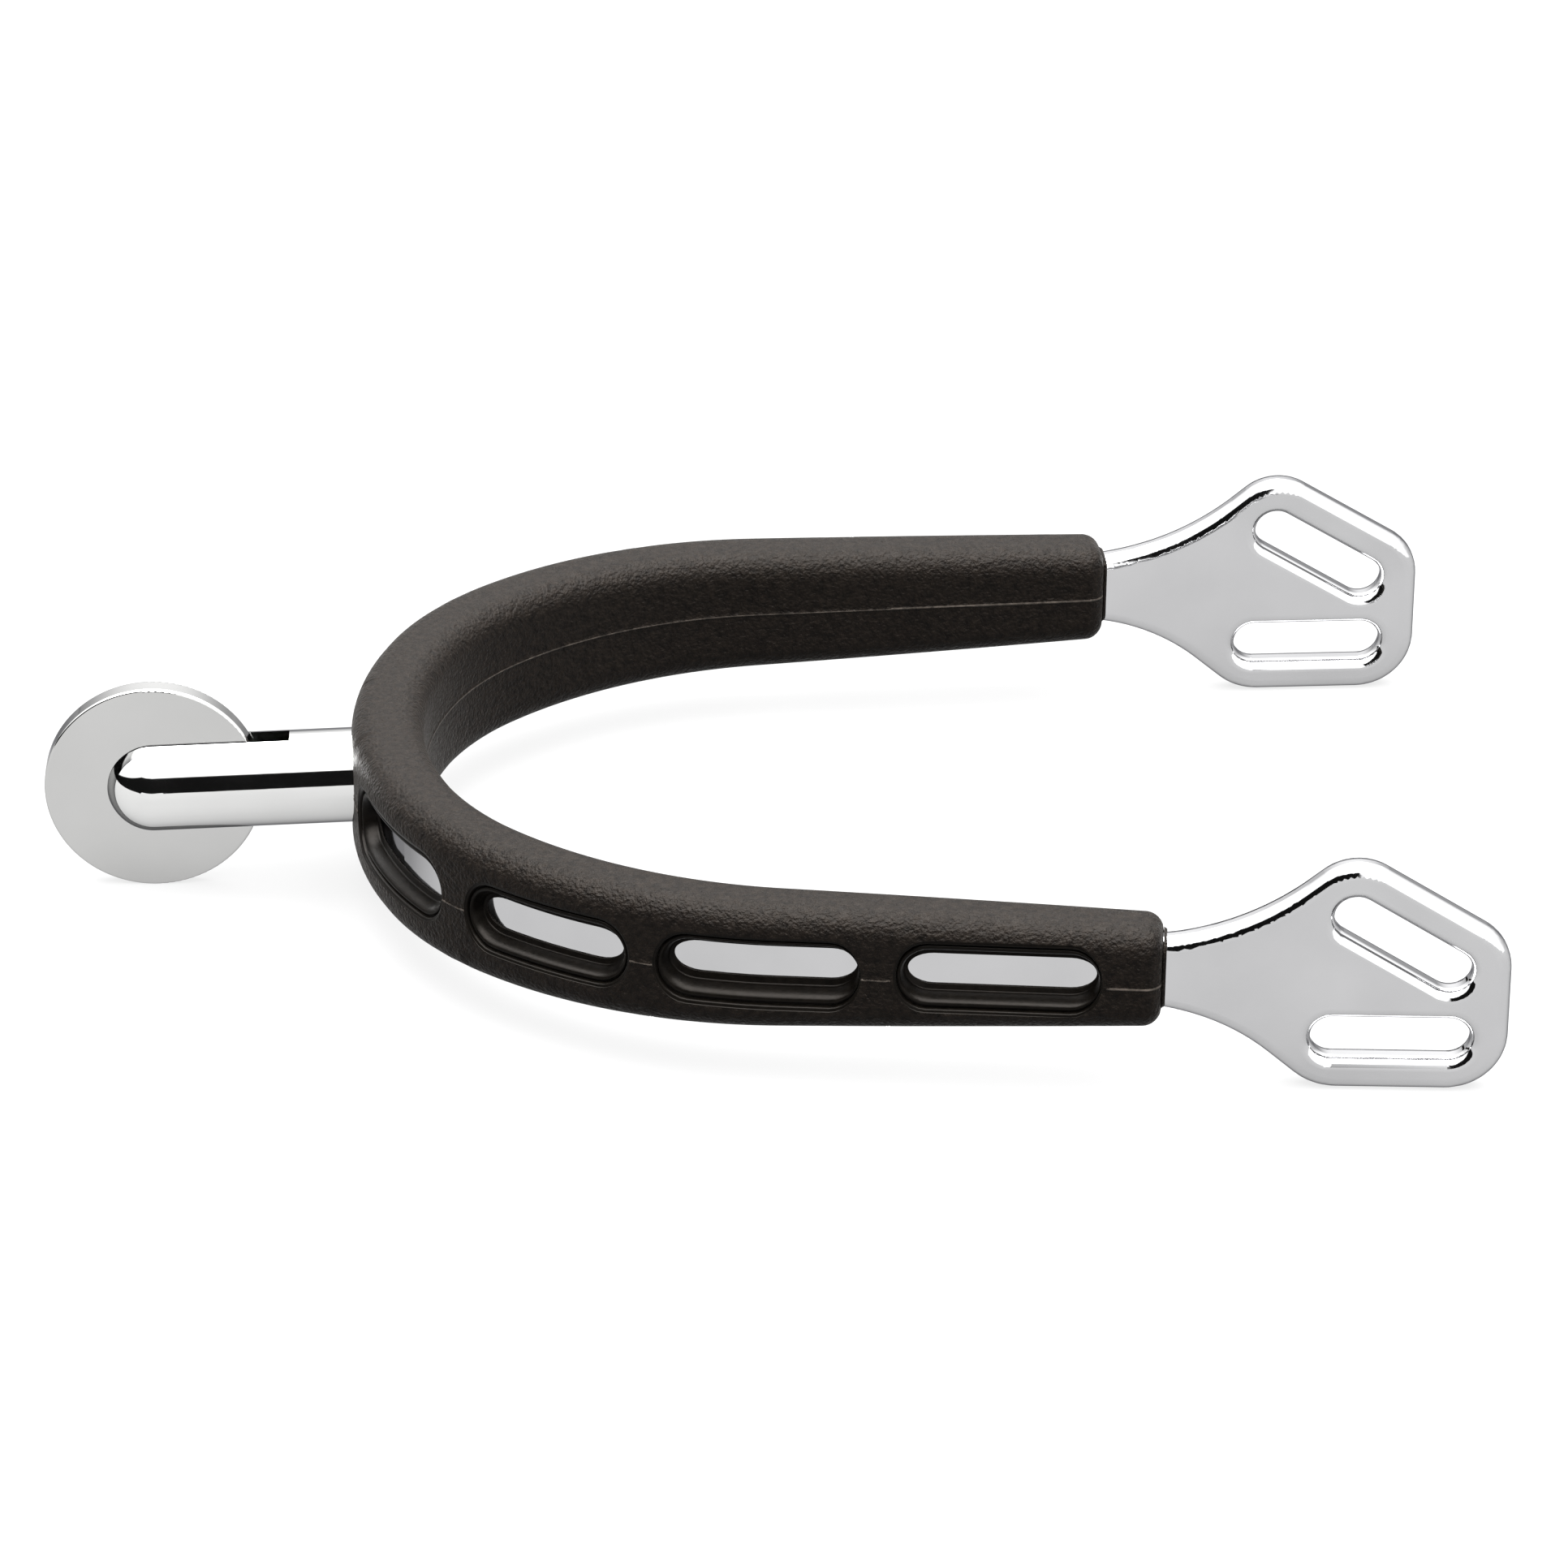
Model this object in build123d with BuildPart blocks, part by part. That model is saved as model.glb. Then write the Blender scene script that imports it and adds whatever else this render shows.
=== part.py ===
from build123d import *
import math
import os

# A riding spur: a steel heel band with a strap plate on each arm, a round neck with a
# smooth disc rowel turning on a pin, and a moulded rubber grip cover round the band.
# Millimetres. +X runs from the rowel to the strap plates, +Y to the far arm and +Z up.
# The origin is under the middle of the spur, on the surface that it rests on.

# ---------------------------------------------------------------- rowel, pin and neck
LENGTH = 134.6  # from the rowel's rim to the ends of the strap plates
ROWEL_RADIUS = 10.3
ROWEL_THICKNESS = 2.0
ROWEL_EDGE = 0.25  # rounding of the disc's rims
PIN_RADIUS = 1.5
PIN_CLEARANCE = 0.05  # radial, so that the disc turns freely on the pin
NECK_RADIUS = 4.5
NECK_CLIMB = 2.6  # degrees that the neck climbs from the rowel to the heel
SLOT_WIDTH = 2.2  # the slot that the disc turns in
SLOT_REACH = 13.1  # from the pin to the closed end of the slot
TENON_RADIUS = 3.0  # turned-down end of the neck, through the heel of the band
TENON_RECESS = 0.25  # weld recess between the tenon's end and the band's inner face

# ---------------------------------------------------------------- heel band, from above
HEEL_X = -34.8  # where the band's centreline crosses the spur's middle plane
BENDS = ((41.0, 22.1), (30.8, 23.9), (42.3, 38.9))  # radius and turn, from the heel
ARM_RUN = 34.9  # straight run of each arm after its bends, to the end of the cover
PLATE_BEND = (80.0, 2.6)  # slight bend that brings the strap plates nearly parallel
PLATE_RUN = 28.1
BAND_THICKNESS = 3.0

# ---------------------------------------------------------------- heel band, from the side
PLATE_X = LENGTH / 2  # free end of the strap plates
FLARE_SLOPE = 40.0  # steepest slope of the flares from the band to the plate
PLATE_CREST = (52.7, 23.96)  # where the flare and the slanted top edge would meet
CREST_FALL = 31.2  # fall of the slanted top edge
PLATE_FOOT_X = 49.6  # where the lower flare would meet the level bottom edge
BAND_TOP = (15.2, 14.65)  # height of the band's top edge, at the heel and at the flare
BAND_LOW = (6.9, 8.3)
TOP_FLARE_RADIUS = 25.0
LOW_FLARE_RADIUS = 20.0
CREST_RADIUS = 5.0
SHOULDER_RADIUS = 5.0
TOE_RADIUS = 5.6
FOOT_RADIUS = 6.0
PLATE_EDGE = 1.2  # rounding along the band and the plates

# ---------------------------------------------------------------- strap slots
STRAP_SLOT_HEIGHT = 4.06
STRAP_SLOT_EDGE = 1.1  # rounding of the slots' rims
LEVEL_SLOT = (56.6, 5.2, 14.6, 0.0)  # x, z, length and tilt
SLANTED_SLOT = (57.4, 14.8, 14.2, -31.2)

# ---------------------------------------------------------------- grip cover
COVER_THICKNESS = 7.04
COVER_TOP = (18.05, 17.45, 16.40)  # top edge's height at the heel, half way and at the end
COVER_LOW = (4.02, 4.97, 6.44)
COVER_CORNER = 2.4
COVER_END = 1.7  # rounding round the cover's two ends
COLLAR_WIDTH = 4.2  # lip round the steel at each end of the cover
COLLAR_HEIGHT = 6.95
COLLAR_CORNER = 1.2
COLLAR_LENGTH = 0.3
COLLAR_Z = 11.6
WINDOWS = ((7.0, 25.2), (27.9, 44.65), (46.7, 65.0), (67.9, 86.9))  # along the centreline
WINDOW_HALF = 3.5  # half the height of a window at the cover's outer face
WINDOW_FLOOR_HALF = 1.55  # half its height at the steel
WINDOW_LIP = 0.3  # depth of the upright lip before the walls slope in
WINDOW_Z = 11.2  # middle height of the windows
WINDOW_OVERCUT = 0.4  # the windows are cut this far past both faces of the rubber

# ---------------------------------------------------------------- shared places
TALL = 30.0  # taller than the spur
WIDE = 60.0  # wider than half the spur
MOSTLY = 0.9  # how far an edge's direction has to point along an axis to count as along it
PIVOT = Vector(-LENGTH / 2 + ROWEL_RADIUS, 0, ROWEL_RADIUS)
climb = math.radians(NECK_CLIMB)
neck_direction = Vector(math.cos(climb), 0, math.sin(climb))
neck_plane = Plane(origin=PIVOT, x_dir=neck_direction, z_dir=(0, -1, 0))
neck_to_band = (HEEL_X - PIVOT.X) / math.cos(climb)  # along the neck, to the centreline
tenon_plane = Plane(origin=PIVOT + neck_direction * neck_to_band, z_dir=neck_direction)


def arm_side(shift, tail):
    """One side of the +Y arm seen from above, shift outside its centreline.

    tail is the straight run after the bends. Returns the run.
    """
    first_radius, first_turn = BENDS[0]
    side = JernArc((HEEL_X - shift, 0), (0, 1), first_radius + shift, -first_turn)
    for radius, turn in BENDS[1:]:
        side = JernArc(side @ 1, side % 1, radius + shift, -turn)
    return Line(side @ 1, side @ 1 + (side % 1) * tail)


def plate_side(run, shift):
    """The arm's side goes on along the strap plate. Returns the last line."""
    radius, turn = PLATE_BEND
    bend = JernArc(run @ 1, run % 1, radius + shift, -turn)
    return Line(bend @ 1, bend @ 1 + (bend % 1) * PLATE_RUN)


def half_outline(half, with_plate):
    """Outline of the +Y half of the U seen from above, half its thickness each side."""
    with BuildLine() as outline:
        Line((HEEL_X - half, 0), (HEEL_X + half, 0))
        outer = arm_side(half, ARM_RUN)
        inner = arm_side(-half, ARM_RUN)
        if with_plate:
            outer = plate_side(outer, half)
            inner = plate_side(inner, -half)
        Line(outer @ 1, inner @ 1)
    return outline.line


def band_side_outline():
    """Outline of the band and the strap plate seen from the side, as X and Z."""
    crest_x, crest_z = PLATE_CREST
    flare = math.tan(math.radians(FLARE_SLOPE))
    shoulder_z = crest_z - (PLATE_X - crest_x) * math.tan(math.radians(CREST_FALL))
    heel = HEEL_X - BAND_THICKNESS
    corners = (
        ((heel, BAND_LOW[0]), 0),
        ((heel, BAND_TOP[0]), 0),
        ((crest_x - (crest_z - BAND_TOP[1]) / flare, BAND_TOP[1]), TOP_FLARE_RADIUS),
        (PLATE_CREST, CREST_RADIUS),
        ((PLATE_X, shoulder_z), SHOULDER_RADIUS),
        ((PLATE_X, 0), TOE_RADIUS),
        ((PLATE_FOOT_X, 0), FOOT_RADIUS),
        ((PLATE_FOOT_X - BAND_LOW[1] / flare, BAND_LOW[1]), LOW_FLARE_RADIUS),
    )
    with BuildLine() as outline:
        FilletPolyline([c[0] for c in corners], radius=[c[1] for c in corners], close=True)
    return outline.line


def strap_slot(x, z, length, tilt):
    """Sketches a strap slot in the side view."""
    with Locations((x, z)):
        SlotOverall(length, STRAP_SLOT_HEIGHT, rotation=tilt)


def runs_along(edge):
    """True for an edge along the band or round a plate.

    False for a straight edge across the thickness, or up a side where two bends meet.
    """
    if edge.geom_type != GeomType.LINE:
        return True
    direction = edge % 0
    meets_bend = abs(direction.Z) > MOSTLY and edge.center().X < PLATE_X - PLATE_EDGE
    return abs(direction.Y) < MOSTLY and not meets_bend


def centreline():
    """The band's centreline from the heel to the end of the cover, seen from above."""
    with BuildLine() as line:
        arm_side(0, ARM_RUN)
    return line.wire()


def across_arm(line, place, height=WINDOW_Z, side=1):
    """Plane across an arm at a place from 0 to 1 along its centreline, side 1 for +Y or -1.

    Its x points out of the U and its z along the arm.
    """
    spot, along = line @ place, line % place
    return Plane(
        origin=(spot.X, side * spot.Y, height),
        x_dir=(-along.Y, side * along.X, 0),
        z_dir=(along.X, side * along.Y, 0),
    )


def cover_side_outline(end_x):
    """Outline of the grip cover seen from the side, as X and Z, to just past its end."""
    heel = HEEL_X - COVER_THICKNESS
    past_end = end_x + COVER_THICKNESS
    with BuildLine() as outline:
        top, low = (
            ThreePointArc((heel, z_heel), ((heel + past_end) / 2, z_middle), (past_end, z_end))
            for z_heel, z_middle, z_end in (COVER_TOP, COVER_LOW)
        )
        Line(top @ 0, low @ 0)
        Line(top @ 1, low @ 1)
    return outline.line


def window_profile():
    """Upper half of a window's section, as distance outside the centreline and height."""
    steel, face = BAND_THICKNESS / 2, COVER_THICKNESS / 2
    with BuildLine() as profile:
        Polyline(
            (steel - WINDOW_OVERCUT, 0),
            (steel - WINDOW_OVERCUT, WINDOW_FLOOR_HALF),
            (steel, WINDOW_FLOOR_HALF),
            (face - WINDOW_LIP, WINDOW_HALF),
            (face + WINDOW_OVERCUT, WINDOW_HALF),
            (face + WINDOW_OVERCUT, 0),
            close=True,
        )
    return profile.line


# ---------------------------------------------------------------- heel band
with BuildPart() as heel_band:
    with BuildSketch():
        add(half_outline(BAND_THICKNESS / 2, with_plate=True))
        make_face()
        mirror(about=Plane.XZ)
    extrude(amount=TALL)
    with BuildSketch(Plane.XZ):
        add(band_side_outline())
        make_face()
    extrude(amount=WIDE, both=True, mode=Mode.INTERSECT)
    fillet(heel_band.edges().filter_by(runs_along), PLATE_EDGE)
    with BuildSketch(Plane.XZ):
        strap_slot(*LEVEL_SLOT)
        strap_slot(*SLANTED_SLOT)
    extrude(amount=WIDE, both=True, mode=Mode.SUBTRACT)
    fillet(heel_band.edges(Select.LAST).filter_by(runs_along), STRAP_SLOT_EDGE)
    with BuildSketch(tenon_plane):
        Circle(TENON_RADIUS)
    extrude(amount=BAND_THICKNESS, both=True, mode=Mode.SUBTRACT)
heel_band.part.label = "heel_band"

# ---------------------------------------------------------------- neck
with BuildPart() as neck:
    with BuildSketch(neck_plane):
        with BuildLine():
            nose = CenterArc((0, 0), NECK_RADIUS, 90, 90)
            Polyline(
                nose @ 0,
                (neck_to_band, NECK_RADIUS),
                (neck_to_band, TENON_RADIUS),
                (neck_to_band + BAND_THICKNESS / 2 - TENON_RECESS, TENON_RADIUS),
                (neck_to_band + BAND_THICKNESS / 2 - TENON_RECESS, 0),
                nose @ 1,
            )
        make_face()
    revolve(axis=Axis(PIVOT, neck_direction))
    pin_blank = neck.part
    add(heel_band.part, mode=Mode.SUBTRACT)
    with BuildSketch(neck_plane):
        with Locations((SLOT_REACH - ROWEL_RADIUS, 0)):
            Rectangle(2 * ROWEL_RADIUS, 2 * ROWEL_RADIUS)
    extrude(amount=SLOT_WIDTH / 2, both=True, mode=Mode.SUBTRACT)
    with BuildSketch(neck_plane):
        Circle(PIN_RADIUS)
    extrude(amount=2 * NECK_RADIUS, both=True, mode=Mode.SUBTRACT)
neck.part.label = "neck"

# ---------------------------------------------------------------- rowel pin
with BuildPart() as rowel_pin:
    with BuildSketch(neck_plane):
        Circle(PIN_RADIUS)
    extrude(amount=2 * NECK_RADIUS, both=True)
    add(pin_blank, mode=Mode.INTERSECT)
rowel_pin.part.label = "rowel_pin"

# ---------------------------------------------------------------- rowel
with BuildPart() as rowel:
    with BuildSketch(neck_plane):
        Circle(ROWEL_RADIUS)
        Circle(PIN_RADIUS + PIN_CLEARANCE, mode=Mode.SUBTRACT)
    extrude(amount=ROWEL_THICKNESS / 2, both=True)
    fillet(rowel.edges().filter_by(GeomType.CIRCLE).group_by(SortBy.RADIUS)[-1], ROWEL_EDGE)
rowel.part.label = "rowel"

# ---------------------------------------------------------------- windows through the grip cover
route = centreline()
with BuildPart() as windows:
    for start, end in WINDOWS:
        first, last = ((start + WINDOW_HALF) / route.length, (end - WINDOW_HALF) / route.length)
        with BuildSketch(across_arm(route, first)):
            add(window_profile())
            make_face()
            mirror(about=Plane.XZ)
        sweep(path=route.trim(first, last).moved(Pos(0, 0, WINDOW_Z)))
        for place, turn in ((first, -1), (last, 1)):
            round_end = across_arm(route, place)
            with BuildSketch(round_end):
                add(window_profile())
                make_face()
            revolve(axis=Axis(round_end.origin, round_end.x_dir * turn), revolution_arc=180)
    mirror(about=Plane.XZ)

# ---------------------------------------------------------------- grip cover
with BuildPart() as grip_cover:
    with BuildSketch():
        add(half_outline(COVER_THICKNESS / 2, with_plate=False))
        make_face()
        mirror(about=Plane.XZ)
    extrude(amount=TALL)
    with BuildSketch(Plane.XZ):
        add(cover_side_outline((route @ 1).X))
        make_face()
    extrude(amount=WIDE, both=True, mode=Mode.INTERSECT)
    end_rims = grip_cover.faces().sort_by(Axis.X)[-2:].edges()
    long_edges = grip_cover.edges().filter_by(lambda edge: edge not in end_rims and runs_along(edge))
    fillet(long_edges, COVER_CORNER)
    end_rims = grip_cover.faces().sort_by(Axis.X)[-2:].edges()
    fillet(end_rims, COVER_END)
    with BuildSketch(*[across_arm(route, 1, COLLAR_Z, side) for side in (1, -1)]):
        RectangleRounded(COLLAR_WIDTH, COLLAR_HEIGHT, COLLAR_CORNER)
    extrude(amount=COLLAR_LENGTH)
    add(windows.part, mode=Mode.SUBTRACT)
    add([heel_band.part, neck.part], mode=Mode.SUBTRACT)
grip_cover.part.label = "grip_cover"

# ---------------------------------------------------------------- one STEP file for each piece
os.makedirs("parts", exist_ok=True)
for piece in (heel_band, neck, rowel_pin, rowel, grip_cover):
    export_step(piece.part, f"parts/{piece.part.label}.step")
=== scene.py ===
import math

import bmesh
import bpy
from mathutils import Matrix, Vector


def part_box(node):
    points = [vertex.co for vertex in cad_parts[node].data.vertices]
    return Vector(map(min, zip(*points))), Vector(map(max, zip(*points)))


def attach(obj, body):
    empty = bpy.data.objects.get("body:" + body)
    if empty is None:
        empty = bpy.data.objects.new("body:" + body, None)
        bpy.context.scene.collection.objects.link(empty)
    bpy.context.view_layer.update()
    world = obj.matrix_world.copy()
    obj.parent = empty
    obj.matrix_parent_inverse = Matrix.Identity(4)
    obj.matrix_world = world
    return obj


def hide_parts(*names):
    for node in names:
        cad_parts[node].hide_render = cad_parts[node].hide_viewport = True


# A riding spur on a pale studio floor. The steel pieces are the frame's own nodes with polished
# metal on them. The moulded rubber grip cover is built here, round the frame's heel band.
# Shapes are worked out in millimetres and put into Blender in metres.

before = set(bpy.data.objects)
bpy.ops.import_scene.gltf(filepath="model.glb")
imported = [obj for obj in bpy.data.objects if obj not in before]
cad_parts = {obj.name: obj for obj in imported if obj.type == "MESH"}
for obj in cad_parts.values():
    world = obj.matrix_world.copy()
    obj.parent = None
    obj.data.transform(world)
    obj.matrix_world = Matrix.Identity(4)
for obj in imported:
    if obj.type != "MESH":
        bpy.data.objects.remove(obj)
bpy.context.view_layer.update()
MM = 0.001

# ---------------------------------------------------------------- the heel band's route
BAND_THICKNESS = 3.0
BAND_CORNER = 1.2
HEEL_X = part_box("heel_band")[0].x / MM + BAND_THICKNESS / 2
BENDS = ((41.0, 22.1), (30.8, 23.9), (42.3, 38.9))  # radius and turn in degrees, from the heel
ARM_RUN = 34.9  # straight run after the bends, to the cover's end
ARM_LENGTH = sum(radius * math.radians(turn) for radius, turn in BENDS) + ARM_RUN

# ---------------------------------------------------------------- grip cover
COVER_HALF = 3.44  # half the cover's thickness, without the parting line
COVER_TOP = (18.05, 17.45, 16.40)  # top edge's height at the heel, half way and at the end
COVER_LOW = (4.02, 4.97, 6.44)
BAND_TOP = (15.2, 14.93, 14.65)  # the steel inside it, likewise
BAND_LOW = (6.9, 7.6, 8.3)
COVER_CORNER = 2.4
COVER_END = 1.7  # rounding round the cover's ends
COLLAR_HALF = 2.1  # lip round the steel at each end
COLLAR_TOP = 15.05
COLLAR_LOW = 8.15
COLLAR_CORNER = 1.2
COLLAR_LENGTH = 0.3
COLLAR_EDGE = 0.12
RIDGE_HEIGHT = 0.07  # the parting line left by the mould
RIDGE_HALF = 0.13
RIDGE_OUTER = -0.25  # its height from FACE_Z, on the outer and the inner face
RIDGE_INNER = 0.25
FACE_Z = 11.2  # heights on the cover's faces are measured from here

# ---------------------------------------------------------------- windows in the cover
# Ends along the centreline, middle height at the cover's face and at the steel, and how far the
# steel's opening stands in from the first and the last end.
WINDOWS = (
    (7.0, 25.2, 11.2, 11.1, 1.2, 1.2),
    (27.9, 44.65, 11.2, 11.2, 1.1, 1.2),
    (46.7, 65.0, 11.1, 11.6, 1.45, 0.4),
    (67.9, 86.9, 11.45, 11.5, 1.3, 0.55),
)
WINDOW_END = (2.9, 2.35)  # length of the rounded ends, at the face and at the steel
# From the cover's face in to the steel: half height of the opening, and drop from the face.
WINDOW_LIP = ((3.68, 0.0), (3.64, -0.02), (3.61, -0.05), (3.60, -0.08))
# Then half height and distance from the centreline: a ledge, a groove, a rounded bead, a slope
# and a step.
WINDOW_WALL = (
    (3.54, 3.35),
    (3.38, 3.30),
    (3.32, 3.22),
    (3.29, 3.04),
    (3.26, 2.86),
    (3.20, 2.80),
    (3.14, 2.90),
    (3.08, 3.02),
    (2.98, 3.10),
    (2.84, 3.10),
    (2.70, 3.00),
    (2.56, 2.82),
    (2.43, 2.58),
    (2.31, 2.30),
    (2.22, 2.06),
    (2.17, 1.92),
    (2.13, 1.76),
    (2.05, 1.70),
    (1.60, 1.64),
    (1.55, 1.60),
)
NECK_RADIUS = 4.5
NECK_Z = 11.15  # height of the neck's axis where it comes out of the cover
# Radius past the neck's own, and drop from the cover's face.
NECK_RINGS = ((0.24, 0.0), (0.12, -0.05), (0.05, -0.16), (0.04, -0.45), (-0.30, -0.50))

# ---------------------------------------------------------------- how finely the cover is divided
CORNER_STEPS = 6
FLAT_SHARES = (0.014, 0.04, 0.10, 0.20, 0.36, 0.56, 0.78, 1.0)  # rows from mid height, close at the ridge
SIDE_STEPS = 4
STATION_STEP = 1.0
END_SHARES = (0.10, 0.22, 0.36, 0.52, 0.68, 0.82, 0.93, 1.0)  # stations round the cover's ends
RING_SHARES = (0.14, 0.28, 0.42, 0.56, 0.70, 0.84, 0.95)
PATCH_MARGIN = 0.6
PATCH_TURN = 50.0  # degrees of a window's end that face its side
PATCH_ARC_STEPS = 3
# The smooth look's darker tone is painted shade in the windows' recesses; the last look's lighter tone is
# a painted highlight on the parting line's ridge.
GRAINED, SMOOTH_PAINTED_SHADE_LOOK, PAINTED_HIGHLIGHT_LOOK = 0, 1, 2  # the rubber's looks, in the order of the cover's materials
TINY = 1e-6


def on_arm(s, out, z):
    """Point s along the centreline (below 0 on the near arm), out from it and z up, in metres."""
    x, y, heading, left = HEEL_X, 0.0, math.pi / 2, abs(s)
    for radius, turn in BENDS:
        step = min(left / radius, math.radians(turn))
        x += radius * (math.sin(heading) - math.sin(heading - step))
        y += radius * (math.cos(heading - step) - math.cos(heading))
        heading -= step
        left -= step * radius
    x += left * math.cos(heading) - out * math.sin(heading)
    y += left * math.sin(heading) + out * math.cos(heading)
    return Vector((x, math.copysign(y, s), z)) * MM


def edge_height(s, heights):
    """Height of an edge given at the heel, half way and at the cover's end."""
    heel_x, end_x = on_arm(0, 0, 0).x, on_arm(ARM_LENGTH, 0, 0).x
    along = (on_arm(s, 0, 0).x - heel_x) / (end_x - heel_x)
    heel, middle, end = heights
    to_heel = (1 - along) * (1 - 2 * along)
    to_middle = 4 * along * (1 - along)
    to_end = along * (2 * along - 1)
    return heel * to_heel + middle * to_middle + end * to_end


def cover_section(s):
    """The cover's section at s: half thickness, low, top and corner radius. Its ends are rounded."""
    into_end = max(0.0, abs(s) - (ARM_LENGTH - COVER_END))
    inset = COVER_END - math.sqrt(max(0.0, COVER_END**2 - into_end**2))
    return (
        COVER_HALF - inset,
        edge_height(s, COVER_LOW) + inset,
        edge_height(s, COVER_TOP) - inset,
        COVER_CORNER - inset,
    )


def band_section(s):
    """The hollow inside the cover, which the steel band fills."""
    return BAND_THICKNESS / 2, edge_height(s, BAND_LOW), edge_height(s, BAND_TOP), BAND_CORNER


def face_point(section, v):
    """Point of a section's outer face, v up along it from the windows' middle height."""
    half, low, top, corner = section
    up, down = top - corner - FACE_Z, FACE_Z - corner - low
    if v > up:
        turn = (v - up) / corner
        return half - corner * (1 - math.cos(turn)), top - corner * (1 - math.sin(turn))
    if v < -down:
        turn = (-down - v) / corner
        return half - corner * (1 - math.cos(turn)), low + corner * (1 - math.sin(turn))
    return half, FACE_Z + v


def face_reach(section, z):
    """How far along the outer face the height z lies."""
    half, low, top, corner = section
    up, down = top - corner - FACE_Z, FACE_Z - corner - low
    level = z - FACE_Z
    if level > up:
        return up + corner * math.asin(min(1.0, (level - up) / corner))
    if level < -down:
        return -down - corner * math.asin(min(1.0, (-down - level) / corner))
    return level


def face_rows(section, middle=RIDGE_OUTER):
    """Rows up a face, from the end of its low corner to the end of its top one."""
    half, low, top, corner = section
    up, down = top - corner - FACE_Z, FACE_Z - corner - low
    turns = [corner * math.pi / 2 * k / CORNER_STEPS for k in range(1, CORNER_STEPS + 1)]
    rows_up = [middle + (up - middle) * share for share in FLAT_SHARES]
    rows_up += [up + turn for turn in turns]
    rows_down = [middle - (down + middle) * share for share in FLAT_SHARES]
    rows_down += [-down - turn for turn in turns]
    return rows_down[::-1] + [middle] + rows_up


FACE_ROWS = 2 * (len(FLAT_SHARES) + CORNER_STEPS) + 1


def ridge(z, middle=RIDGE_OUTER):
    """How far the parting line stands proud at this height."""
    return RIDGE_HEIGHT * max(0.0, 1 - ((z - FACE_Z - middle) / RIDGE_HALF) ** 2)


def section_loop(section, ridged):
    """A section's points, as distance out and height: up the outer face, then back inside."""
    half, low, top, corner = section
    outer = [face_point(section, v) for v in face_rows(section)]
    inner = [face_point(section, v) for v in face_rows(section, RIDGE_INNER)]
    if ridged:
        outer = [(out + ridge(z), z) for out, z in outer]
        inner = [(out + ridge(z, RIDGE_INNER), z) for out, z in inner]
    flat = half - corner
    across = [flat * (1 - 2 * k / SIDE_STEPS) for k in range(1, SIDE_STEPS)]
    over = [(out, top) for out in across]
    under = [(-out, low) for out in across]
    return outer + over + [(-out, z) for out, z in reversed(inner)] + under


class MeshBuild:
    """Vertices and faces of a mesh on the way. Each face has a look: grained, smooth with painted shade,
    or the parting line's painted highlight.
    """

    def __init__(self):
        self.points, self.worn, self.faces, self.looks = [], [], [], []
        self.look = GRAINED

    def point(self, place, worn=False):
        self.points.append(place)
        self.worn.append(worn)
        return len(self.points) - 1

    def loop(self, places):
        return [self.point(place) for place in places]

    def face(self, corners):
        self.faces.append(corners)
        # A face whose corners all stand proud on the parting line's ridge gets the lighter tone of a
        # painted highlight.
        self.looks.append(PAINTED_HIGHLIGHT_LOOK if all(self.worn[corner] for corner in corners) else self.look)

    def bridge(self, first, second):
        """Quads between two closed loops of as many points."""
        for k in range(len(first)):
            self.face((first[k - 1], first[k], second[k], second[k - 1]))

    def finished(self, name):
        mesh = bpy.data.meshes.new(name)
        mesh.from_pydata(self.points, [], self.faces)
        mesh.polygons.foreach_set("material_index", self.looks)
        work = bmesh.new()
        work.from_mesh(mesh)
        bmesh.ops.recalc_face_normals(work, faces=work.faces)
        work.to_mesh(mesh)
        work.free()
        mesh.shade_smooth()
        piece = bpy.data.objects.new(name, mesh)
        bpy.context.scene.collection.objects.link(piece)
        return piece


def hole_compass(rows, straight_steps):
    """Where each point of a hole's loop lies: share from its first end to its last, and direction.

    The loop runs along the bottom, up the last end, back along the top and down the first end.
    """
    arc = [PATCH_TURN + (90 - PATCH_TURN) * k / PATCH_ARC_STEPS for k in range(PATCH_ARC_STEPS + 1)]
    bottom = [(0.0, -180 + turn) for turn in arc]
    bottom += [(k / straight_steps, -90.0) for k in range(1, straight_steps)]
    bottom += [(1.0, -turn) for turn in (arc[::-1] if straight_steps else arc[-2::-1])]
    side = [(1.0, PATCH_TURN * v / abs(rows[-1] if v > 0 else rows[0])) for v in rows[1:-1]]
    top = [(share, -degrees) for share, degrees in reversed(bottom)]
    back = [(0.0, 180 - degrees) for share, degrees in reversed(side)]
    return [(share, math.radians(degrees)) for share, degrees in bottom + side + top + back]


def ring_places(compass, first, last, height, end, middle_z):
    """Points of one ring of a hole, as s and z."""
    start, stop = first + end, last - end
    return [
        (start + share * (stop - start) + end * math.cos(turn), middle_z + height * math.sin(turn))
        for share, turn in compass
    ]


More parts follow.
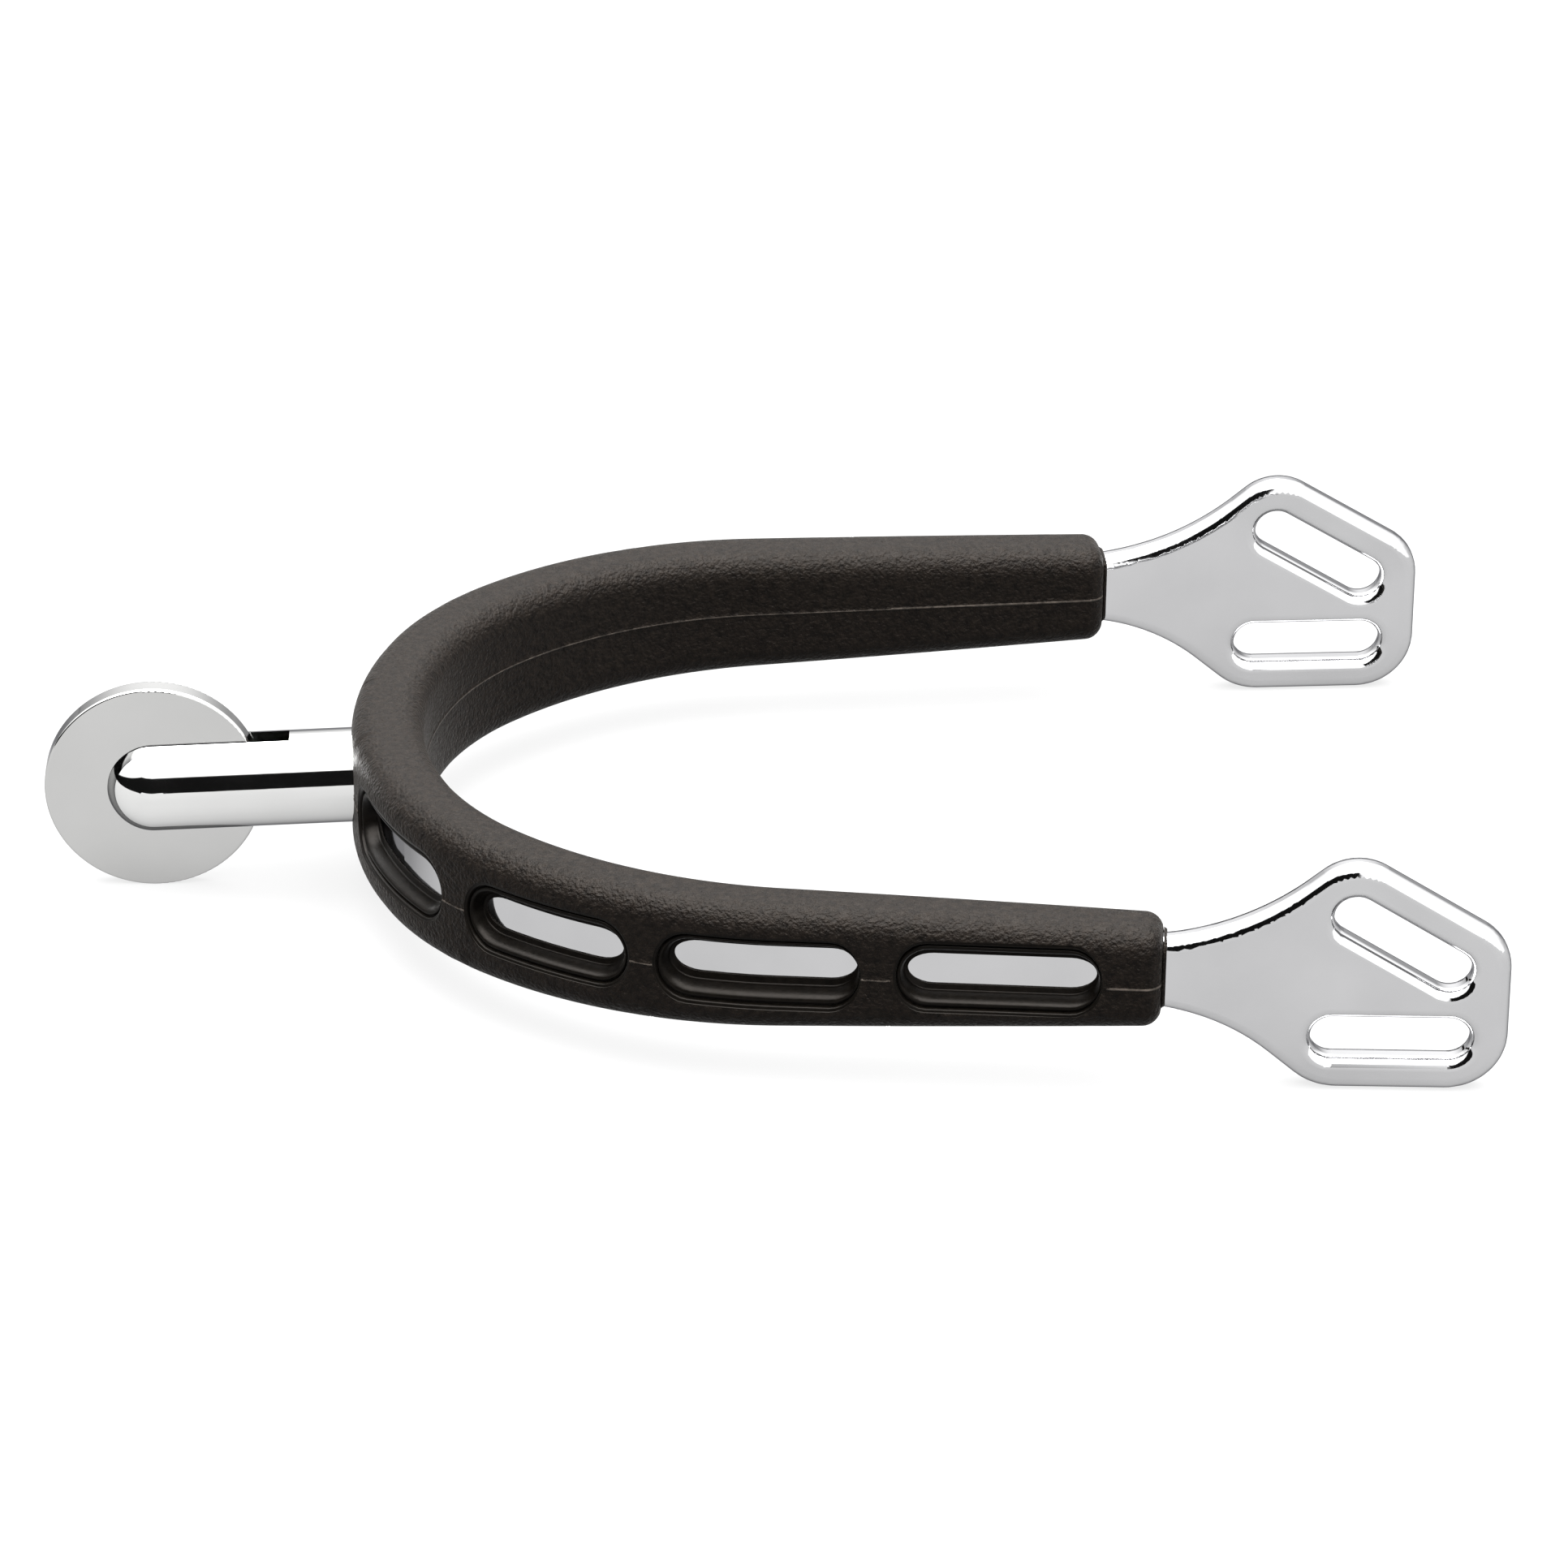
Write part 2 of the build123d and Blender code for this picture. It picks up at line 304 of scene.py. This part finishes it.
class Window:
    """One window, at its place on either arm."""

    def __init__(self, first, last, middle_z, steel_z, first_tip, last_tip, side):
        self.ends = (first, last) if side > 0 else (-last, -first)
        self.tips = (first_tip, last_tip)[::side]
        self.face_z, self.steel_z = middle_z, steel_z
        self.end = WINDOW_END[0]
        self.steps = round((last - first - 2 * self.end) / STATION_STEP)

    def ring(self, compass, height):
        """The opening where it is this half height, on its way from the cover's face to the steel."""
        steel = WINDOW_WALL[-1][0]
        inward = (WINDOW_LIP[0][0] - height) / (WINDOW_LIP[0][0] - steel)
        end = WINDOW_END[0] + (WINDOW_END[1] - WINDOW_END[0]) * inward
        first = self.ends[0] + self.tips[0] * inward
        last = self.ends[1] - self.tips[1] * inward
        middle_z = self.face_z + (self.steel_z - self.face_z) * inward
        return ring_places(compass, first, last, height, end, middle_z)

    def rings(self, compass):
        """The lip's rings, then the wall's, each with its drop from the face or distance out."""
        return [(self.ring(compass, height), out) for height, out in WINDOW_LIP + WINDOW_WALL]

    def steel_hole(self):
        """The hole in the cover's hollow: its ends, rounded end and straight steps."""
        return self.ends[0] + self.tips[0], self.ends[1] - self.tips[1], WINDOW_END[1], self.steps


def stations_between(first, last, count):
    return [first + (last - first) * k / count for k in range(count + 1)]


def hole_stations(first, last, end, steps):
    """Stations across a hole's patch: its two ends, and evenly along its straight run."""
    low, high = first - PATCH_MARGIN, last + PATCH_MARGIN
    start, stop = first + end, last - end
    lead = stations_between(low, start, PATCH_ARC_STEPS)
    middle = stations_between(start, stop, steps)[1:-1] if steps else []
    tail = stations_between(stop, high, PATCH_ARC_STEPS)
    return lead + middle + (tail if steps else tail[1:])


def neck_reach(gap, out):
    """Half the neck's hole along the centreline, at this distance out from it."""
    heel_radius = BENDS[0][0]
    return (NECK_RADIUS + gap) * heel_radius / (heel_radius + out)


def sleeve(build, section_at, holes, ridged, extra):
    """Adds a skin round the band. Returns its first and last loops and a patch for each hole.

    holes gives each hole's ends along s, rounded end and straight steps. A patch is the loop
    round the hole, its places as s and v, and its compass.
    """
    stations, patches = [-ARM_LENGTH - extra], []
    for first, last, end, steps in holes:
        across = hole_stations(first, last, end, steps)
        patches.append((across[0], across[-1], steps))
        stations += fill_in(stations[-1], across[0], ridged) + across
    stations += fill_in(stations[-1], ARM_LENGTH + extra, ridged) + [ARM_LENGTH + extra]
    columns = []
    for s in stations:
        inside = any(low < s < high for low, high, steps in patches)
        section = section_at(s)
        # Points standing proud on the parting line's ridge are marked for its painted highlight.
        columns.append([
            None
            if inside and 0 < row < FACE_ROWS - 1
            else build.point(on_arm(s, out, z), abs(out) > section[0] + TINY)
            for row, (out, z) in enumerate(section_loop(section, ridged))
        ])
    for left, right in zip(columns, columns[1:]):
        for row in range(len(left)):
            quad = (left[row - 1], left[row], right[row], right[row - 1])
            if None not in quad:
                build.face(quad)
    made = []
    for low, high, steps in patches:
        inner = [k for k, s in enumerate(stations) if low <= s <= high]
        first, last = inner[0], inner[-1]
        top = FACE_ROWS - 1
        loop = [columns[k][0] for k in inner] + columns[last][1:top]
        loop += [columns[k][top] for k in reversed(inner)] + columns[first][top - 1:0:-1]
        rows_last, rows_first = face_rows(section_at(high)), face_rows(section_at(low))
        places = [(stations[k], face_rows(section_at(stations[k]))[0]) for k in inner]
        places += [(high, v) for v in rows_last[1:-1]]
        places += [(stations[k], face_rows(section_at(stations[k]))[-1]) for k in reversed(inner)]
        places += [(low, v) for v in rows_first[-2:0:-1]]
        made.append((loop, places, hole_compass(rows_last, steps)))
    return columns[0], columns[-1], made


def fill_in(first, last, ended):
    """Stations between two others, without them. They close up where the cover's ends round off."""
    curved_from = ARM_LENGTH - COVER_END
    stations = []
    if ended and first < -curved_from:
        stations = [-curved_from - COVER_END * share for share in reversed(END_SHARES[:-1])]
        stations.append(-curved_from)
        first = -curved_from
    tail = []
    if ended and last > curved_from:
        tail = [curved_from]
        tail += [curved_from + COVER_END * share for share in END_SHARES[:-1]]
        last = curved_from
    steps = max(1, round((last - first) / STATION_STEP))
    return stations + stations_between(first, last, steps)[1:-1] + tail


def cut_hole(build, patch, section_at, rings, ridged):
    """Rings from a patch's edge in to its hole, then the hole's own rings. Returns the last loop.

    rings holds each ring's places and its distance out, or its drop from the face if not above 0.
    """
    loop, places, compass = patch
    outline, _ = rings[0]
    sections = [section_at(s) for s, z in outline]
    reaches = [face_reach(section, z) for section, (s, z) in zip(sections, outline)]
    for share in RING_SHARES:
        ring = []
        for (s, v), (hole_s, _), hole_v in zip(places, outline, reaches):
            at, up = s + (hole_s - s) * share, v + (hole_v - v) * share
            out, z = face_point(section_at(at), up)
            # Points on the parting line's ridge are marked for its painted highlight.
            proud = ridge(z) if ridged else 0
            ring.append(build.point(on_arm(at, out + proud, z), proud > TINY))
        build.bridge(loop, ring)
        loop = ring
    faces = [face_point(section, v)[0] for section, v in zip(sections, reaches)]
    for ring_at, depth in rings:
        outs = [face + depth if depth <= 0 else depth for face in faces]
        # The lip's first ring, where it crosses the ridge, is marked for the parting line's painted
        # highlight.
        line = [ridge(z) > TINY and ridged and depth == 0 for s, z in ring_at]
        ring = [build.point(on_arm(s, out, z), worn) for (s, z), out, worn in zip(ring_at, outs, line)]
        build.bridge(loop, ring)
        # Past the lip, the window's walls take the smooth rubber, whose darker tone is painted shade in
        # the recess.
        build.look = SMOOTH_PAINTED_SHADE_LOOK if ridged else build.look
        loop = ring
    build.look = GRAINED
    return loop


def close_end(build, skin, hollow, side):
    """The cover's end: its flat face, the lip round the steel, and the hollow's edge."""
    end = side * ARM_LENGTH
    tip = side * (ARM_LENGTH + COLLAR_LENGTH)
    lip = (
        (COLLAR_EDGE, end),
        (0.0, end + side * COLLAR_EDGE),
        (0.0, tip - side * COLLAR_EDGE),
        (-COLLAR_EDGE, tip),
    )
    loop = skin
    for grow, s in lip:
        section = (COLLAR_HALF + grow, COLLAR_LOW - grow, COLLAR_TOP + grow, COLLAR_CORNER + grow)
        ring = build.loop([on_arm(s, out, z) for out, z in section_loop(section, False)])
        build.bridge(loop, ring)
        loop = ring
    build.bridge(loop, hollow)


def grip_cover():
    """The moulded rubber sleeve: its skin, the hollow that the steel fills, and its windows."""
    build = MeshBuild()
    windows = [Window(*window, side) for window in WINDOWS for side in (-1, 1)]
    windows.sort(key=lambda window: window.ends)
    window_holes = [(*window.ends, window.end, window.steps) for window in windows]
    reach = neck_reach(NECK_RINGS[0][0], COVER_HALF)
    neck_hole = (-reach, reach, reach, 0)
    middle = len(windows) // 2
    holes = window_holes[:middle] + [neck_hole] + window_holes[middle:]
    first_end, last_end, patches = sleeve(build, cover_section, holes, True, 0.0)
    neck_patch = patches.pop(middle)
    steel_holes = [window.steel_hole() for window in windows]
    near_hollow, far_hollow, steel_patches = sleeve(build, band_section, steel_holes, False, COLLAR_LENGTH)
    for window, patch, steel_patch in zip(windows, patches, steel_patches):
        mouth = cut_hole(build, patch, cover_section, window.rings(patch[2]), True)
        steel_ring = window.ring(steel_patch[2], WINDOW_WALL[-1][0])
        build.bridge(mouth, cut_hole(build, steel_patch, band_section, [(steel_ring, 0.0)], False))
    rings = []
    for gap, drop in NECK_RINGS:
        reach = neck_reach(gap, COVER_HALF)
        rings.append((ring_places(neck_patch[2], -reach, reach, NECK_RADIUS + gap, reach, NECK_Z), drop))
    build.face(cut_hole(build, neck_patch, cover_section, rings, True))
    close_end(build, first_end, near_hollow, -1)
    close_end(build, last_end, far_hollow, 1)
    return build.finished("grip_cover_rubber")


# ---------------------------------------------------------------- materials
# Noise is given as features per metre and octaves of detail. Depths are in metres.
METAL_EDGE = (0.22, 0.22, 0.23)  # the steel's tint where it is seen edge-on
SMUDGES = (90, 4)
HAZE = (260, 5)
WAVES = (90, 1)
WAVE_DEPTH = 0.006 * MM
POLISH_LINES = (900, 3)
LINE_STRETCH = (0.15, 1, 3)
LINE_DEPTH = 0.001 * MM
RUBBER_TONE = (1500, 3)
RUBBER_GLOSS = (2000, 3)
COARSE_GRAIN = (1100, 2)
COARSE_SHARE = 0.5  # of the fine grain's depth
FINE_GRAIN = (3000, 2)
WARM = (1.0, 0.92, 0.85)
SHEEN, SHEEN_ROUGHNESS = 0.012, 0.35
MOTTLE = (40, 2)
FLOOR_DARK, FLOOR_LIGHT = (0.028, 0.028, 0.028), (0.032, 0.032, 0.032)
FLOOR_ROUGHNESS, FLOOR_SPECULAR = 0.9, 0.1
FLOOR_GLOW = 0.80

# Each rubber look: dark and light tone, roughness, specular level and depth of the grain.
RUBBERS = {
    "grained_black_rubber": (
        (0.0007, 0.0005, 0.0004), (0.0034, 0.0025, 0.0019), (0.42, 0.58), 0.05, 0.22 * MM,
    ),
    # The windows' walls: smoother and finer grained, and darker; the smoothness is the rubber's own, the
    # darker tone is painted shade in the recesses.
    "smooth_rubber_with_painted_recess_shade": (
        (0.0005, 0.0004, 0.0003), (0.0014, 0.0011, 0.0008), (0.30, 0.38), 0.05, 0.01 * MM,
    ),
    # The parting line's ridge: its lighter tone is a painted highlight, on top of the ridge's own shape.
    "worn_parting_line": (
        (0.006, 0.005, 0.004), (0.030, 0.025, 0.021), (0.40, 0.55), 0.12, 0.04 * MM,
    ),
}
# Each steel: name, dark and light tone, and roughness.
BAND_STEEL = ("polished_stainless", (0.425, 0.425, 0.430), (0.465, 0.465, 0.470), (0.04, 0.09))
NECK_STEEL = ("bright_stainless", (0.58, 0.58, 0.575), (0.62, 0.62, 0.615), (0.03, 0.06))
DISC_STEEL = ("polished_disc", (0.450, 0.450, 0.444), (0.480, 0.480, 0.474), (0.06, 0.12))


def new_material(name):
    material = bpy.data.materials.new(name)
    material.use_nodes = True
    nodes = material.node_tree.nodes
    return material, nodes, material.node_tree.links, nodes["Principled BSDF"]


def noise(nodes, links, scale, detail, stretch=(1, 1, 1)):
    """Noise in the piece's own frame."""
    place = nodes.new("ShaderNodeTexCoord")
    mapping = nodes.new("ShaderNodeMapping")
    mapping.inputs["Scale"].default_value = stretch
    texture = nodes.new("ShaderNodeTexNoise")
    texture.inputs["Scale"].default_value = scale
    texture.inputs["Detail"].default_value = detail
    links.new(place.outputs["Object"], mapping.inputs["Vector"])
    links.new(mapping.outputs["Vector"], texture.inputs["Vector"])
    return texture.outputs["Fac"]


def spread(nodes, links, value, low, high, from_low=0.3, from_high=0.7):
    """Maps a value to a range. A noise's values lie mostly between 0.3 and 0.7."""
    ramp = nodes.new("ShaderNodeMapRange")
    ramp.inputs["From Min"].default_value = from_low
    ramp.inputs["From Max"].default_value = from_high
    ramp.inputs["To Min"].default_value = low
    ramp.inputs["To Max"].default_value = high
    links.new(value, ramp.inputs["Value"])
    return ramp.outputs["Result"]


def bump(nodes, links, value, depth, under=None):
    """A bump of this depth in metres, on top of another."""
    node = nodes.new("ShaderNodeBump")
    node.inputs["Distance"].default_value = depth
    links.new(value, node.inputs["Height"])
    if under is not None:
        links.new(under, node.inputs["Normal"])
    return node.outputs["Normal"]


def number(nodes, links, kind, first, second):
    """A Math node of two values, each a socket or a number."""
    node = nodes.new("ShaderNodeMath")
    node.operation = kind
    for socket, value in zip(node.inputs, (first, second)):
        if isinstance(value, (int, float)):
            socket.default_value = value
        else:
            links.new(value, socket)
    return node.outputs["Value"]


def tinted(nodes, links, value, dark, light):
    """A colour between two, by a value from 0 to 1."""
    mix = nodes.new("ShaderNodeMix")
    mix.data_type = "RGBA"
    mix.inputs["A"].default_value = (*dark, 1)
    mix.inputs["B"].default_value = (*light, 1)
    links.new(value, mix.inputs["Factor"])
    return mix.outputs["Result"]


def steel(name, dark, light, roughness):
    """Mirror-polished stainless steel: faint polishing lines, smudges and a slight waviness."""
    material, nodes, links, shader = new_material(name)
    shader.inputs["Metallic"].default_value = 1.0
    shader.inputs["Specular Tint"].default_value = (*METAL_EDGE, 1)
    smudge = spread(nodes, links, noise(nodes, links, *SMUDGES), 0, 1)
    links.new(tinted(nodes, links, smudge, dark, light), shader.inputs["Base Color"])
    haze = spread(nodes, links, noise(nodes, links, *HAZE), *roughness)
    links.new(haze, shader.inputs["Roughness"])
    wave = bump(nodes, links, noise(nodes, links, *WAVES), WAVE_DEPTH)
    lines = noise(nodes, links, *POLISH_LINES, LINE_STRETCH)
    links.new(bump(nodes, links, lines, LINE_DEPTH, wave), shader.inputs["Normal"])
    return material


def rubber(name, dark, light, roughness, level, grain):
    """Moulded black rubber, warm near-black."""
    material, nodes, links, shader = new_material(name)
    tone = spread(nodes, links, noise(nodes, links, *RUBBER_TONE), 0, 1)
    links.new(tinted(nodes, links, tone, dark, light), shader.inputs["Base Color"])
    gloss = spread(nodes, links, noise(nodes, links, *RUBBER_GLOSS), *roughness)
    links.new(gloss, shader.inputs["Roughness"])
    shader.inputs["Specular IOR Level"].default_value = level
    shader.inputs["Specular Tint"].default_value = (*WARM, 1)
    shader.inputs["Sheen Weight"].default_value = SHEEN
    shader.inputs["Sheen Roughness"].default_value = SHEEN_ROUGHNESS
    shader.inputs["Sheen Tint"].default_value = (*WARM, 1)
    coarse = bump(nodes, links, noise(nodes, links, *COARSE_GRAIN), COARSE_SHARE * grain)
    fine = bump(nodes, links, noise(nodes, links, *FINE_GRAIN), grain, coarse)
    links.new(fine, shader.inputs["Normal"])
    return material


def floor_material():
    """A back-lit white light table, with the faintest mottling."""
    material, nodes, links, shader = new_material("studio_floor")
    mottle = spread(nodes, links, noise(nodes, links, *MOTTLE), 0, 1)
    links.new(tinted(nodes, links, mottle, FLOOR_DARK, FLOOR_LIGHT), shader.inputs["Base Color"])
    shader.inputs["Roughness"].default_value = FLOOR_ROUGHNESS
    shader.inputs["Specular IOR Level"].default_value = FLOOR_SPECULAR
    shader.inputs["Emission Color"].default_value = (1, 1, 1, 1)
    shader.inputs["Emission Strength"].default_value = FLOOR_GLOW
    return material


cover = grip_cover()
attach(cover, "frame")
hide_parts("grip_cover")
for name, look in RUBBERS.items():
    cover.data.materials.append(rubber(name, *look))

bright = steel(*NECK_STEEL)
steels = {
    "heel_band": steel(*BAND_STEEL),
    "neck": bright,
    "rowel_pin": bright,
    "rowel": steel(*DISC_STEEL),
}
for node, finish in steels.items():
    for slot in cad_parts[node].material_slots:
        slot.material = finish

# ---------------------------------------------------------------- camera
AIM = Vector((2.80, 0.0, 9.92)) * MM
CAMERA_DISTANCE = 0.78724
CAMERA_AZIMUTH = math.radians(-2.405)
CAMERA_ELEVATION = math.radians(26.591)
CAMERA_ROLL = math.radians(0.838)
FOCAL_LENGTH = 190.0
SENSOR = 36.0

level_right = Vector((math.cos(CAMERA_AZIMUTH), math.sin(CAMERA_AZIMUTH), 0))
back = Vector((
    math.sin(CAMERA_AZIMUTH) * math.cos(CAMERA_ELEVATION),
    -math.cos(CAMERA_AZIMUTH) * math.cos(CAMERA_ELEVATION),
    math.sin(CAMERA_ELEVATION),
))
level_up = back.cross(level_right)
right = level_right * math.cos(CAMERA_ROLL) + level_up * math.sin(CAMERA_ROLL)
up = back.cross(right)
lens = bpy.data.cameras.new("camera")
lens.lens, lens.sensor_width = FOCAL_LENGTH, SENSOR
camera = bpy.data.objects.new("camera", lens)
turned = Matrix((right, up, back)).transposed().to_4x4()
camera.matrix_world = Matrix.Translation(AIM + back * CAMERA_DISTANCE) @ turned
bpy.context.scene.collection.objects.link(camera)
bpy.context.scene.camera = camera

# ---------------------------------------------------------------- studio
FLOOR_HALF = 3.0
floor_mesh = bpy.data.meshes.new("floor")
corners = [(x * FLOOR_HALF, y * FLOOR_HALF, 0) for x, y in ((-1, -1), (1, -1), (1, 1), (-1, 1))]
floor_mesh.from_pydata(corners, [], [(0, 1, 2, 3)])
floor_mesh.materials.append(floor_material())
floor = bpy.data.objects.new("floor", floor_mesh)
bpy.context.scene.collection.objects.link(floor)

# A white tent all round, open in front and to the left, where the unlit room shows.
TENT_LIGHT = 2.6
BACK_LIGHT = 1.2  # the tent's low far side, darker towards its foot
BACK_HIGH = 34.0
LAMP_LIGHT = 23.0  # the broad lamp over the tent, on top of the tent's own light
LAMP_LOW = 47.0
ROOM_LIGHT = 0.004
ROOM_LOW, ROOM_HIGH = -6.0, 37.0  # degrees above the horizon
ROOM_LEFT, ROOM_RIGHT = -35.0, 2.0  # degrees from straight in front, towards +X above 0
ROOM_END = -125.0  # its top comes down to the horizon from ROOM_LEFT to here
TENT_BLUR = 1.5  # half the softness of the room's edges, in degrees
SIDE_BLUR = 3.0
LAMP_BLUR = 7.5
BACK_BLUR = 0.3  # half the softness of the change from front to back, as a share of the way back


def soft_step(nodes, links, value, at, blur, rising):
    """1 past a value and 0 before it, or the reverse, with a soft edge."""
    ramp = nodes.new("ShaderNodeMapRange")
    ramp.interpolation_type = "SMOOTHSTEP"
    ramp.inputs["From Min"].default_value = at - blur
    ramp.inputs["From Max"].default_value = at + blur
    ramp.inputs["To Min"].default_value = 0.0 if rising else 1.0
    ramp.inputs["To Max"].default_value = 1.0 if rising else 0.0
    links.new(value, ramp.inputs["Value"])
    return ramp.outputs["Result"]


def studio_world():
    """The tent's light, by direction."""
    world = bpy.data.worlds.new("studio")
    world.use_nodes = True
    nodes, links = world.node_tree.nodes, world.node_tree.links
    direction = nodes.new("ShaderNodeTexCoord")
    parts = nodes.new("ShaderNodeSeparateXYZ")
    links.new(direction.outputs["Generated"], parts.inputs["Vector"])
    x, y, z = (parts.outputs[axis] for axis in "XYZ")
    per_degree = math.degrees(1)
    height = number(nodes, links, "MULTIPLY", number(nodes, links, "ARCSINE", z, 0), per_degree)
    front = number(nodes, links, "MULTIPLY", y, -1)
    side = number(nodes, links, "MULTIPLY", number(nodes, links, "ARCTAN2", x, front), per_degree)
    room = soft_step(nodes, links, height, ROOM_LOW, TENT_BLUR, True)
    top = spread(nodes, links, side, 0, ROOM_HIGH, ROOM_END, ROOM_LEFT)
    under_top = number(nodes, links, "SUBTRACT", top, height)
    below = soft_step(nodes, links, under_top, 0, TENT_BLUR, True)
    room = number(nodes, links, "MULTIPLY", room, below)
    left_of_end = soft_step(nodes, links, side, ROOM_RIGHT, SIDE_BLUR, False)
    room = number(nodes, links, "MULTIPLY", room, left_of_end)
    low = soft_step(nodes, links, height, BACK_HIGH / 2, BACK_HIGH / 2, False)
    behind = soft_step(nodes, links, y, 0, BACK_BLUR, True)
    low = number(nodes, links, "MULTIPLY", low, behind)
    tent = spread(nodes, links, low, TENT_LIGHT, BACK_LIGHT, 0, 1)
    lamp = soft_step(nodes, links, height, LAMP_LOW, LAMP_BLUR, True)
    tent = number(nodes, links, "ADD", tent, number(nodes, links, "MULTIPLY", lamp, LAMP_LIGHT))
    lit = number(nodes, links, "MULTIPLY", tent, spread(nodes, links, room, 1, ROOM_LIGHT, 0, 1))
    links.new(lit, nodes["Background"].inputs["Strength"])
    nodes["Background"].inputs["Color"].default_value = (1.0, 1.0, 1.0, 1)
    return world


bpy.context.scene.world = studio_world()
bpy.context.scene.view_settings.view_transform = "Standard"
